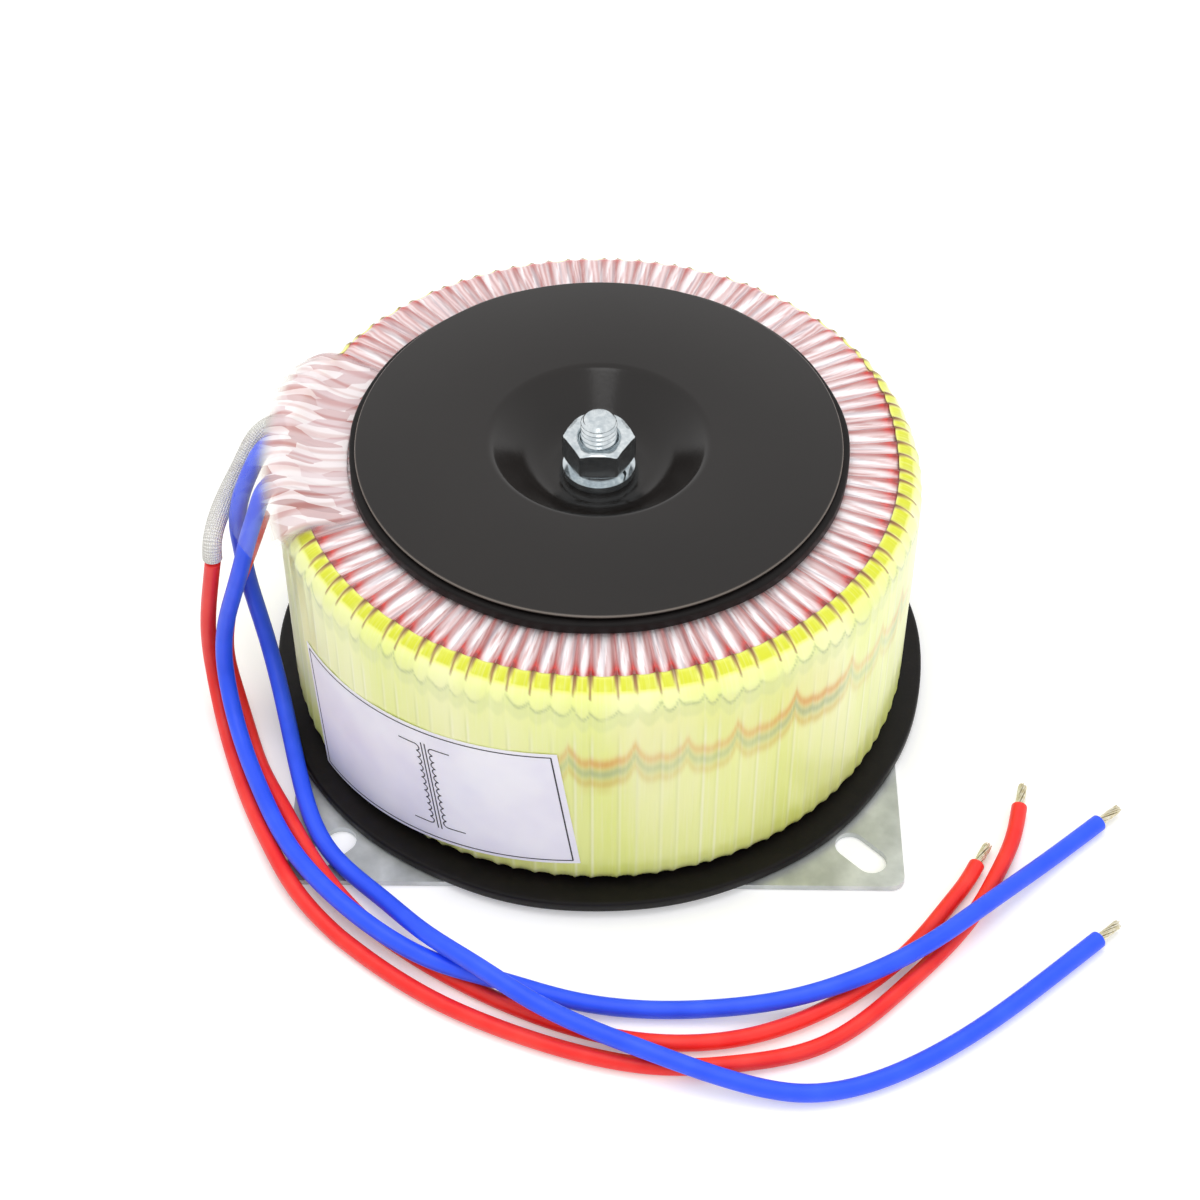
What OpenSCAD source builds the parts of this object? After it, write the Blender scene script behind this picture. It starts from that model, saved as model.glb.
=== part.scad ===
// Toroidal transformer: a tape-wound ring core with its windings, clamped by one
// central bolt between a square mounting plate and a dished cover plate.
// Four flying leads leave the shoulder of the ring and lie round its foot.
// Units are millimetres, +Z is up and the origin is under the bolt, on the
// underside of the mounting plate.

/* [Wound ring] */
// Hole through the finished ring
ring_hole_d = 52; // [51:0.5:54]
// Diameter of the ring over the crests of its outer turns
ring_d = 142; // [140:0.5:143]
// Height of the ring over the crests of its upper turns
ring_h = 63; // [62:0.5:64]
// Number of outer turns that show as ridges
turns = 100; // [60:1:110]
// Diameter of one outer turn with its film
turn_d = 2.4; // [2:0.1:2.4]
// Bend of the film where the top runs into the wall
ring_bend = 5; // [4.6:0.1:5.4]
// Thickness of the film between two turns
film_t = 0.4; // [0.3:0.05:0.5]

/* [Core] */
// Outer diameter of the steel strip core
core_d = 125; // [122:0.5:126]
// Hole through the core
core_hole_d = 73; // [71:0.5:76]
// Height of the core
core_h = 46; // [44:0.5:47]
// Build of the primary on the outside of the core
primary_build = 3; // [2.5:0.1:3.2]
// Build of the primary inside the hole, where its turns crowd
primary_build_hole = 3.8; // [3:0.1:4.4]
// Tape over the core and tape between the two windings
insulation_t = 0.5; // [0.3:0.05:0.6]

/* [Edge tape] */
// Thickness of the crimped tape round the wall
tape_t = 0.25; // [0.2:0.01:0.3]
// Depth of the crimps between two turns
crimp = 0.6; // [0.3:0.05:0.6]

/* [Mounting plate] */
// Side of the square plate
plate_w = 136.5; // [130:0.5:150]
// Sheet thickness of the plate
plate_t = 1.5; // [1.2:0.1:1.5]
// Corner radius of the plate
plate_corner = 3; // [1:0.5:6]
// Spacing of the slot centres along one side
slot_pitch = 118; // [116:0.5:122]
// Overall length of a slot
slot_l = 13; // [10:0.5:14]
// Width of a slot
slot_w = 7; // [5:0.5:8]
// Rise of the pressed boss that hides the bolt head
boss_h = 7.3; // [6.5:0.1:8]

/* [Rubber pads] */
// Diameter of the pad under the ring
bottom_pad_d = 153; // [148:0.5:154]
// Thickness of the pad under the ring
bottom_pad_t = 3; // [2:0.1:3]
// Diameter of the pad on the ring
top_pad_d = 110; // [108:0.5:114]
// Thickness of the pad on the ring
top_pad_t = 2.9; // [2.5:0.1:3]

/* [Cover plate] */
// Diameter of the cover plate
cover_d = 106.8; // [100:0.2:108]
// Sheet thickness of the cover plate
cover_t = 1.2; // [1:0.1:1.5]
// Diameter of the dish at its lip, for the cover and the boss alike
dish_d = 50; // [48:0.5:50]
// Diameter of the flat floor of the dish
dish_floor_d = 22; // [20:0.5:24]
// Depth of the dish in the cover
dish_depth = 9.2; // [8:0.1:10]

/* [Bolt, nut and washers] */
// Thread diameter of the bolt
bolt_d = 8; // [8:0.5:8]
// Length of the bolt under its head
bolt_l = 70; // [68:1:75]
// Height of the bolt head
head_h = 5.3; // [5:0.1:5.5]
// Width across flats of the head and the nut
across_flats = 14; // [13:0.5:14]
// Height of the nut
nut_h = 6.5; // [6:0.1:6.8]
// Diameter of the flat washer
washer_d = 16; // [15:0.5:18]
// Thickness of the flat washer
washer_t = 1.6; // [1.4:0.1:1.8]
// Diameter of the spring washer
spring_d = 13.8; // [13:0.1:14.8]
// Thickness of the spring washer
spring_t = 2; // [1.8:0.1:2.2]

/* [Label] */
// Width of the blank label, straight across
label_w = 68; // [60:1:72]
// Height of the label
label_h = 36; // [30:0.5:38]
// Lean of the label on the wall
label_tilt = 6.6; // [0:0.2:7]
// Direction that the label faces
label_angle = -122.6; // [-140:0.2:-100]
// Thickness of the label
label_t = 0.15; // [0.1:0.05:0.2]

/* [Leads] */
// Diameter of the two blue leads
blue_d = 3.9; // [3.6:0.1:3.9]
// Diameter of the two red leads
red_d = 3.6; // [3.2:0.1:3.6]
// Diameter of the woven sleeve over the start of one red lead
sleeve_d = 4.4; // [4:0.1:4.6]
// Bare length of the strands at each lead's end
strip_l = 6.5; // [4:0.5:10]
// Diameter of the bundle of bare strands
strand_d = 2.1; // [1.6:0.1:2.4]

/* [Hidden] */
$fn = 96;

// heights, from the mounting face upwards
ring_z0 = plate_t + bottom_pad_t;
ring_z1 = ring_z0 + ring_h;
cover_z = ring_z1 + top_pad_t;
dish_floor_z = cover_z + cover_t - dish_depth;
washer_z = dish_floor_z;
spring_z = washer_z + washer_t;
nut_z = spring_z + spring_t;
clearance_d = bolt_d + 0.5;

// the film lies at turn_r inside the crests of the turns
turn_r = turn_d / 2;
film_r = ring_d / 2 - turn_r;
film_z1 = ring_z1 - turn_r;
hole_r = ring_hole_d / 2;
bend_r = film_r - ring_bend;
bend_z1 = film_z1 - ring_bend;
bend_z0 = ring_z0 + ring_bend;
// a ridge starts where neighbouring turns come clear of each other
ridge_start_r = turns * turn_d / 6;
crest_r = ring_bend + turn_r + 0.05;

// core and windings share one mid height
core_z0 = (ring_z0 + film_z1 - core_h) / 2;
layers = [
  [core_hole_d / 2, core_d / 2, 0],
  [core_hole_d / 2 - insulation_t, core_d / 2 + insulation_t, insulation_t],
  [core_hole_d / 2 - insulation_t - primary_build_hole,
   core_d / 2 + insulation_t + primary_build, insulation_t + primary_build],
  [core_hole_d / 2 - 2 * insulation_t - primary_build_hole,
   core_d / 2 + 2 * insulation_t + primary_build, 2 * insulation_t + primary_build]];

// rows of the edge tape from its lap on the top to its lap under the ring:
// centre height of the bend, angle on the bend, radius of the crests, crimp depth
tape_rows = [
  [bend_z1, 80, crest_r, crimp], [bend_z1, 42, crest_r, crimp],
  [bend_z1, 0, crest_r, crimp], [bend_z0, 0, crest_r, crimp * 0.6],
  [bend_z0, -45, crest_r - 0.5, crimp]];

// rows of the film round its outside, from the seam in the hole over the top and
// down the wall: radius and height of the crest, way that it faces, share of the ridge
ridge_r = ring_bend + turn_r;
film_rows = [
  [hole_r, ring_z0 + ring_h / 2 + 0.1, 180, 0], [hole_r, film_z1 - 3, 180, 0],
  [hole_r + 3, film_z1, 90, 0], [ridge_start_r, film_z1, 90, 0],
  [ridge_start_r + 2, ring_z1, 90, 1], [bend_r, ring_z1, 90, 1],
  [bend_r + ridge_r * cos(80), bend_z1 + ridge_r * sin(80), 80, 1],
  [bend_r + ridge_r * cos(42), bend_z1 + ridge_r * sin(42), 42, 1],
  [ring_d / 2, bend_z1, 0, 1], [ring_d / 2, bend_z0, 0, 1],
  [bend_r + ring_bend * cos(45), bend_z0 - ring_bend * sin(45), -45, 0],
  [bend_r, ring_z0, -90, 0], [hole_r + 3, ring_z0, -90, 0],
  [hole_r, ring_z0 + 3, 180, 0], [hole_r, ring_z0 + ring_h / 2 - 0.1, 180, 0]];
// the plain inside of the film, back to the seam
inner_r = film_r - film_t;
film_inside = [
  [hole_r + film_t, ring_z0 + ring_h / 2 - 0.1], [hole_r + film_t, ring_z0 + ring_bend],
  [hole_r + ring_bend, ring_z0 + film_t], [bend_r - 1, ring_z0 + film_t],
  [inner_r, bend_z0 + 1], [inner_r, bend_z1 - 1], [bend_r - 1, film_z1 - film_t],
  [hole_r + ring_bend, film_z1 - film_t], [hole_r + film_t, film_z1 - ring_bend],
  [hole_r + film_t, ring_z0 + ring_h / 2 + 0.1]];

// the patch of clear film over the start of the leads: flat at its two ends and
// raised over the leads between them, each path running outwards and down
patch_start = 152;
patch_end = 204;
patch_steps = 16;
patch_t = 0.25;
patch_flat = [
  [58, ring_z1 + 0.4], [62, ring_z1 + 0.4], bend_point(62), bend_point(40),
  bend_point(20), bend_point(0), [bend_r + crest_r + tape_t + 0.1, bend_z1 - 3]];
patch_raised = [
  [58, ring_z1 + 0.4], [63.5, ring_z1 + 1.2], [68.5, ring_z1 + 3.2], [73.5, ring_z1 + 2.6],
  [78.4, ring_z1 - 0.4], [81.8, ring_z1 - 4.4], [83.4, ring_z1 - 8]];

// routes of the leads, from the shoulder of the ring down to the surface
blue_route_1 = [
  [-70.5, 3.5, 67.8], [-74, 1, 66.5], [-76.5, -2, 63.5], [-78.5, -4.5, 59.5],
  [-80, -7.5, 54], [-80, -8.5, 46], [-79.5, -8.5, 36], [-76.5, -11.5, 18.5],
  [-73, -21, 10.5], [-67, -42.5, 5.6], [-59, -61.5, 4], [-46.5, -75, 4.8],
  [-35, -88, 8.8], [-24, -97, 10.4], [-13, -104.5, 9.6], [1, -110.5, 7],
  [11, -114.5, 6.4], [30.5, -120.5, 4], [43, -122, 2.6], [67, -114.5, 2],
  [97.5, -92, 2], [109, -82, 2]];
blue_route_2 = [
  [-69.5, -9.5, 67.8], [-72.5, -12.5, 66.5], [-74, -15, 63.5], [-75.5, -17, 59.5],
  [-78, -18, 51], [-81, -17.5, 40.5], [-85.5, -17.5, 20.5], [-85, -21, 11.5],
  [-82, -30, 6.4], [-76, -45, 5.4], [-67.5, -62, 5.8], [-57.5, -75, 6.6],
  [-46, -85, 6], [-32.5, -93, 5.8], [-19.5, -97, 5.4], [-6, -100, 3.4],
  [27, -101.5, 2.8], [42, -100, 4.6], [56.5, -95.5, 6.2], [71.5, -87, 6.6],
  [83.5, -77, 5.8], [100.5, -61, 2.4], [113, -50, 2]];
red_route_1 = [
  [-85.6, -14, 46.3], [-87.5, -13, 36], [-89.5, -12.5, 22], [-89.5, -14, 9.5],
  [-87, -22.5, 3.2], [-83, -34.5, 1.8], [-78, -47.5, 2.2], [-72, -60.5, 3.2],
  [-64.5, -73.5, 3.4], [-55, -83.5, 1.8], [-31, -101, 1.8], [-17, -107.5, 1.8],
  [-2.5, -112.5, 1.8], [14, -115.5, 1.8], [30.5, -114.5, 1.8], [46.5, -110.5, 1.8],
  [66.5, -94.5, 1.8], [83, -75, 1.8], [89, -64, 1.8], [93, -55, 1.8],
  [95.5, -45.5, 1.8]];
red_route_2 = [
  [-73.5, -12, 59.5], [-78.5, -13, 45.5], [-82.5, -12, 34], [-85, -11, 24],
  [-86, -12.5, 15], [-84.5, -16, 6.5], [-81, -25, 2.4], [-76.5, -37, 2.2],
  [-70.5, -49, 3.4], [-63.5, -62, 3.8], [-56, -73, 3.4], [-48.5, -80.5, 1.8],
  [-34, -91.5, 1.8], [-20, -99.5, 1.8], [8, -109, 1.8], [32, -108, 1.8],
  [52, -99, 1.8], [70, -83, 1.8], [77.5, -73, 1.8], [82, -66.5, 1.8],
  [84.5, -62, 1.8]];
sleeve_route = [
  [-70, 8.5, 68], [-74.5, 7, 66.5], [-79, 2.5, 61.5], [-83.5, -4, 54.5],
  [-85.4, -13.2, 50.5], [-85.6, -14, 47]];

function unit(v) = v / norm(v);
function mix(a, b, t) = a + (b - a) * t;
// smooth step from 0 to 1, level at both ends
function ease(t) = (1 - cos(180 * t)) / 2;
// a point of the patch where it lies on the tape round the upper bend
function bend_point(a) =
  [bend_r, bend_z1] + (crest_r + tape_t + 0.1) * [cos(a), sin(a)];
// a profile point [r, z] turned to angle a about the Z axis
function around(p, a) = [p[0] * cos(a), p[0] * sin(a), p[1]];

// upper line of a dished sheet: level floor, eased wall and level rim
function dish_line(hole, floor_r, lip_r, rim_r, z_floor, z_rim, steps = 14) = concat(
  [[hole, z_floor]],
  [for (i = [0 : steps]) [mix(floor_r, lip_r, i / steps), mix(z_floor, z_rim, ease(i / steps))]],
  [[rim_r, z_rim]]);
// direction square to a line at its point i, on the upper side
function line_normal(line, i) =
  let (d = line[min(i + 1, len(line) - 1)] - line[max(i - 1, 0)]) unit([-d[1], d[0]]);
// closed outline of a sheet of thickness t that hangs under its upper line
function sheet_outline(line, t) = concat(
  line,
  [for (i = [len(line) - 1 : -1 : 0]) line[i] - t * line_normal(line, i)]);

// how far the position q lies from the nearest turn: 0 on a turn, 1 between two turns
function between(q) = abs(round(q) - q) * 2;
// one closed section of the film at the turn position q, a crest on whole numbers
function film_section(q) = concat(
  [for (row = film_rows)
    let (fall = row[3] * turn_r * between(q))
    around([row[0] - fall * cos(row[2]), row[1] - fall * sin(row[2])], q * 360 / turns)],
  [for (p = film_inside) around(p, q * 360 / turns)]);

// one closed section of the edge tape at the turn position q, a crest on whole numbers
function tape_section(q) =
  let (n = len(tape_rows))
  [for (k = [0 : 2 * n - 1])
    let (row = tape_rows[k < n ? k : 2 * n - 1 - k],
         rho = row[2] - row[3] * between(q) + (k < n ? tape_t : 0))
    around([bend_r + rho * cos(row[1]), row[0] + rho * sin(row[1])], q * 360 / turns)];

// one closed section of the exit patch, raised by the share w
function patch_section(a, w) =
  let (path = [for (k = [0 : len(patch_flat) - 1]) mix(patch_flat[k], patch_raised[k], w)])
  [for (p = sheet_outline(path, patch_t)) around(p, a)];

// directions along a route, and a side direction carried along it without twist
function headings(route) = [for (i = [0 : len(route) - 1])
  unit(route[min(i + 1, len(route) - 1)] - route[max(i - 1, 0)])];
function carried(h) = [
  for (i = 0, s = unit(cross(h[0], [1, 2, 3])); i < len(h);
       i = i + 1, s = i < len(h) ? unit(s - (s * h[i]) * h[i]) : s) s];
// rings of points round a route, which make a tube of diameter d
function tube_rings(route, d, sides = 8) =
  let (h = headings(route), s = carried(h))
  [for (i = [0 : len(route) - 1]) [for (k = [0 : sides - 1])
    route[i] + d / 2 * (cos(k * 360 / sides) * s[i] + sin(k * 360 / sides) * cross(h[i], s[i]))]];

// solid skin through a list of closed sections; a ring joins its last to its first
module loft(sections, ring = false) {
  m = len(sections);
  n = len(sections[0]);
  polyhedron(
    points = [for (s = sections) each s],
    faces = concat(
      [for (i = [0 : m - (ring ? 1 : 2)], j = [0 : n - 1])
        let (a = i * n, b = (i + 1) % m * n, k = (j + 1) % n)
        each [[a + j, b + j, b + k], [a + j, b + k, a + k]]],
      ring ? [] : [[for (j = [0 : n - 1]) j], [for (j = [n - 1 : -1 : 0]) (m - 1) * n + j]]));
}

// half section of the ring between two radii and two heights, bent at its corners
module ring_section(r0, r1, z0, z1, bend) {
  translate([r0 + bend, z0]) square([r1 - r0 - 2 * bend, z1 - z0]);
  translate([r0, z0 + bend]) square([r1 - r0, z1 - z0 - 2 * bend]);
  for (r = [r0 + bend, r1 - bend], z = [z0 + bend, z1 - bend])
    translate([r, z]) circle(bend);
}

// half section of the core grown by the winding layer k
module layer_section(k) {
  build = layers[k][2];
  ring_section(layers[k][0], layers[k][1], core_z0 - build, core_z0 + core_h + build, 1 + build);
}

// outline with two round ends, centred, lying along X
module slot_outline(length, width) {
  square([length - width, width], center = true);
  for (x = [-1, 1]) translate([x * (length - width) / 2, 0]) circle(width / 2);
}

// hexagonal prism with the corners of its top and bottom faces turned off
module hex_body(flats, height, both_ends = true) {
  corner_r = flats / 2 / cos(30);
  turned = (corner_r - flats / 2) * 0.6;
  lower = both_ends ? turned : 0;
  intersection() {
    cylinder(h = height, r = corner_r, $fn = 6);
    rotate_extrude() polygon([
      [0, 0], [corner_r - lower * 1.6, 0], [corner_r, lower], [corner_r, height - turned],
      [corner_r - turned * 1.6, height], [0, height]]);
  }
}

module mounting_plate() {
  side = plate_w / 2 - plate_corner;
  color("silver")
  union() {
    linear_extrude(plate_t) difference() {
      union() {
        square([plate_w, 2 * side], center = true);
        square([2 * side, plate_w], center = true);
        for (x = [-side, side], y = [-side, side]) translate([x, y]) circle(plate_corner);
      }
      circle(dish_d / 2);
      for (a = [45 : 90 : 315])
        rotate(a) translate([slot_pitch / sqrt(2), 0]) slot_outline(slot_l, slot_w);
    }
    rotate_extrude() polygon(sheet_outline(
      dish_line(clearance_d / 2, dish_floor_d / 2, dish_d / 2, dish_d / 2 + 0.5,
                boss_h + plate_t, plate_t), plate_t));
  }
}

module bottom_pad() {
  color("#1c1c1c")
  translate([0, 0, plate_t]) difference() {
    cylinder(h = bottom_pad_t, d = bottom_pad_d);
    translate([0, 0, -1]) cylinder(h = bottom_pad_t + 2, d = dish_d + 1);
  }
}

module core() {
  color("slategray") rotate_extrude() layer_section(0);
}

// one winding or tape layer, from the layer k - 1 to the layer k
module layer_shell(k) {
  rotate_extrude() difference() {
    layer_section(k);
    layer_section(k - 1);
  }
}

module core_wrap() {
  color("ivory") layer_shell(1);
}

module primary_winding() {
  color("chocolate") layer_shell(2);
}

module winding_insulation() {
  color("khaki") layer_shell(3);
}

module secondary_winding() {
  gap = 0.05;
  color("orangered")
  rotate_extrude() difference() {
    polygon([
      [hole_r + film_t + gap, ring_z0 + ring_bend], [hole_r + ring_bend, ring_z0 + film_t + gap],
      [bend_r - 1, ring_z0 + film_t + gap], [inner_r - gap, bend_z0 + 1],
      [inner_r - gap, bend_z1 - 1], [bend_r - 1, film_z1 - film_t - gap],
      [hole_r + ring_bend, film_z1 - film_t - gap], [hole_r + film_t + gap, film_z1 - ring_bend]]);
    layer_section(3);
  }
}

module film_wrap() {
  color("mistyrose")
  loft([for (q = [0 : 0.5 : turns - 0.5]) film_section(q)], ring = true);
}

module edge_tape() {
  color("greenyellow")
  loft([for (q = [0 : 0.5 : turns - 0.5]) tape_section(q)], ring = true);
}

module label() {
  wall_r = bend_r + crest_r + tape_t + 0.02;
  color("white")
  intersection() {
    difference() {
      cylinder(h = ring_z1, r = wall_r + label_t);
      translate([0, 0, -1]) cylinder(h = ring_z1 + 2, r = wall_r);
    }
    rotate(label_angle) translate([wall_r, 0, ring_z0 + 22.3]) rotate([label_tilt, 0, 0])
      cube([40, label_w, label_h], center = true);
  }
}

module top_pad() {
  color("#262422")
  translate([0, 0, ring_z1]) difference() {
    cylinder(h = top_pad_t, d = top_pad_d);
    translate([0, 0, -1]) cylinder(h = top_pad_t + 2, d = dish_d + 1);
  }
}

module cover_plate() {
  color("#1a1918")
  rotate_extrude() polygon(sheet_outline(
    dish_line(clearance_d / 2, dish_floor_d / 2, dish_d / 2, cover_d / 2,
              dish_floor_z, cover_z + cover_t), cover_t));
}

module centre_bolt() {
  tip = 0.8;
  color("lightsteelblue")
  translate([0, 0, boss_h]) union() {
    mirror([0, 0, 1]) hex_body(across_flats, head_h, both_ends = false);
    rotate_extrude() polygon([
      [0, -1], [bolt_d / 2, -1], [bolt_d / 2, bolt_l - tip],
      [bolt_d / 2 - tip, bolt_l], [0, bolt_l]]);
  }
}

module flat_washer() {
  color("gainsboro")
  translate([0, 0, washer_z]) difference() {
    cylinder(h = washer_t, d = washer_d);
    translate([0, 0, -1]) cylinder(h = washer_t + 2, d = clearance_d);
  }
}

module spring_washer() {
  color("lightgray")
  translate([0, 0, spring_z]) difference() {
    cylinder(h = spring_t, d = spring_d);
    translate([0, 0, -1]) cylinder(h = spring_t + 2, d = bolt_d + 0.2);
    // the slanting split
    rotate(-35) translate([spring_d / 2, 0, spring_t / 2]) rotate([25, 0, 0])
      cube([spring_d, 0.8, 3 * spring_t], center = true);
  }
}

module hex_nut() {
  color("lightsteelblue")
  translate([0, 0, nut_z]) difference() {
    hex_body(across_flats, nut_h);
    translate([0, 0, -1]) cylinder(h = nut_h + 2, d = bolt_d);
  }
}

module exit_patch() {
  color("honeydew")
  loft([for (i = [0 : patch_steps])
    patch_section(mix(patch_start, patch_end, i / patch_steps),
                  pow(sin(180 * i / patch_steps), 0.5))]);
}

module lead(route, d) {
  loft(tube_rings(route, d));
}

// seven bare strands side by side, carried on from the end of a lead
module strands(route) {
  tip = route[len(route) - 1];
  heading = unit(tip - route[len(route) - 2]);
  wire_r = strand_d / 6;
  translate(tip) rotate([0, 90, atan2(heading[1], heading[0])])
    linear_extrude(strip_l) {
      circle(wire_r + 0.05, $fn = 24);
      for (a = [0 : 60 : 300]) rotate(a) translate([2 * wire_r, 0]) circle(wire_r + 0.05, $fn = 24);
    }
}

module lead_sleeve() {
  color("whitesmoke") lead(sleeve_route, sleeve_d);
}

module blue_lead_1() {
  color("royalblue") lead(blue_route_1, blue_d);
}

module blue_lead_2() {
  color("royalblue") lead(blue_route_2, blue_d);
}

module red_lead_1() {
  color("crimson") lead(red_route_1, red_d);
}

module red_lead_2() {
  color("crimson") lead(red_route_2, red_d);
}

module blue_strands_1() {
  color("peru") strands(blue_route_1);
}

module blue_strands_2() {
  color("peru") strands(blue_route_2);
}

module red_strands_1() {
  color("peru") strands(red_route_1);
}

module red_strands_2() {
  color("peru") strands(red_route_2);
}

mounting_plate();
bottom_pad();
core();
core_wrap();
primary_winding();
winding_insulation();
secondary_winding();
film_wrap();
edge_tape();
label();
top_pad();
cover_plate();
centre_bolt();
flat_washer();
spring_washer();
hex_nut();
exit_patch();
lead_sleeve();
blue_lead_1();
blue_lead_2();
red_lead_1();
red_lead_2();
blue_strands_1();
blue_strands_2();
red_strands_1();
red_strands_2();
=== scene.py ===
import math

import bmesh
import bpy
import numpy as np
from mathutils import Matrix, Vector


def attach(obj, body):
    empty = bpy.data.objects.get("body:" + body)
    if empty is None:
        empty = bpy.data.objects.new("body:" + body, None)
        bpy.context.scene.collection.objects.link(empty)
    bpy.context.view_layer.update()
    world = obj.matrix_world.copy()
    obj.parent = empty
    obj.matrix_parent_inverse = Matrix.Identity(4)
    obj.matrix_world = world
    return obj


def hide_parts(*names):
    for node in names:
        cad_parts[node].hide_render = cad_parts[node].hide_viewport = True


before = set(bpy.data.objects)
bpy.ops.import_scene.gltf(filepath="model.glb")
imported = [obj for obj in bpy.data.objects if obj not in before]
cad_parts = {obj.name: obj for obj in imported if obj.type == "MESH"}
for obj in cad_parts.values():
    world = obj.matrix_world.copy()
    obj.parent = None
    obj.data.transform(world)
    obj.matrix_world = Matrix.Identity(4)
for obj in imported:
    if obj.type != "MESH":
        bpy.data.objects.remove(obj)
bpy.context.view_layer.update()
MM = 0.001
ROOT = "root"
rng = np.random.default_rng(11)

# ---------------------------------------------------------------- camera

camera_data = bpy.data.cameras.new("camera")
camera_data.lens = 75.96
camera_data.sensor_width = 36.0
camera_data.clip_start = 0.01
camera = bpy.data.objects.new("camera", camera_data)
camera.location = Vector((5.53, -405.8, 448.8)) * MM
aim = Vector((0.35, -9.38, 30.0)) * MM
camera.rotation_euler = (aim - camera.location).to_track_quat("-Z", "Y").to_euler()
bpy.context.scene.collection.objects.link(camera)
bpy.context.scene.camera = camera

# ---------------------------------------------------------------- colours and nodes


def srgb(text):
    """Linear RGBA of a six digit sRGB hex colour."""
    c = np.array([int(text[i:i + 2], 16) for i in (0, 2, 4)]) / 255.0
    return (*np.where(c <= 0.04045, c / 12.92, ((c + 0.055) / 1.055) ** 2.4), 1.0)


def add(tree, kind, inputs=None, **settings):
    """Adds one shader node, sets its properties, and fills or links its sockets."""
    made = tree.nodes.new("ShaderNode" + kind)
    for name, value in settings.items():
        setattr(made, name, value)
    for key, value in (inputs or {}).items():
        if isinstance(value, bpy.types.NodeSocket):
            tree.links.new(value, made.inputs[key])
        else:
            made.inputs[key].default_value = value
    return made


def material(name, color, roughness, metallic=0.0, **sockets):
    """A Principled material: its tree, its shader and the material itself."""
    made = bpy.data.materials.new(name)
    made.use_nodes = True
    tree = made.node_tree
    shader = tree.nodes["Principled BSDF"]
    shader.inputs["Base Color"].default_value = srgb(color)
    shader.inputs["Roughness"].default_value = roughness
    shader.inputs["Metallic"].default_value = metallic
    for key, value in sockets.items():
        shader.inputs[key.replace("_", " ")].default_value = value
    return made, tree, shader


def ramp(tree, factor, *stops):
    """Colour ramp over (position, hex) stops."""
    made = add(tree, "ValToRGB", {"Fac": factor})
    elements = made.color_ramp.elements
    while len(elements) < len(stops):
        elements.new(0.5)
    for element, (position, color) in zip(elements, stops):
        element.position = position
        element.color = srgb(color)
    return made.outputs["Color"]


def span(tree, value, low, high):
    """Maps a 0..1 value to a range."""
    return add(tree, "MapRange", {"Value": value, "To Min": low, "To Max": high}).outputs["Result"]


def spots(tree, size_mm, detail=2.0, stretch=(1, 1, 1), source="Object", seed=0.0):
    """Noise whose blobs are about size_mm across, on object metres or on UV millimetres."""
    place = add(tree, "TexCoord").outputs[source]
    unit = 1000.0 if source == "Object" else 1.0
    mapped = add(tree, "Mapping", {
        "Vector": place, "Location": (seed, seed, seed),
        "Scale": [unit * s / size_mm for s in stretch]})
    return add(tree, "TexNoise", {
        "Vector": mapped.outputs["Vector"], "Scale": 1.0, "Detail": detail}).outputs["Fac"]


def bump(tree, shader, height, depth_mm, strength=1.0):
    """Links a height pattern, full scale depth_mm, to the shader's normal."""
    made = add(tree, "Bump", {"Height": height, "Distance": depth_mm * MM, "Strength": strength})
    tree.links.new(made.outputs["Normal"], shader.inputs["Normal"])


def link(tree, output, shader, name):
    tree.links.new(output, shader.inputs[name])


def mixed(tree, factor, first, second, **settings):
    """The colour between two colours at a factor."""
    return add(tree, "Mix", {0: factor, 6: first, 7: second}, data_type="RGBA",
               **settings).outputs[2]


def painted(tree, name="paint", socket="Color"):
    """The value a surface carries at its points."""
    return add(tree, "Attribute", attribute_name=name).outputs[socket]


# ---------------------------------------------------------------- surfaces


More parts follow.
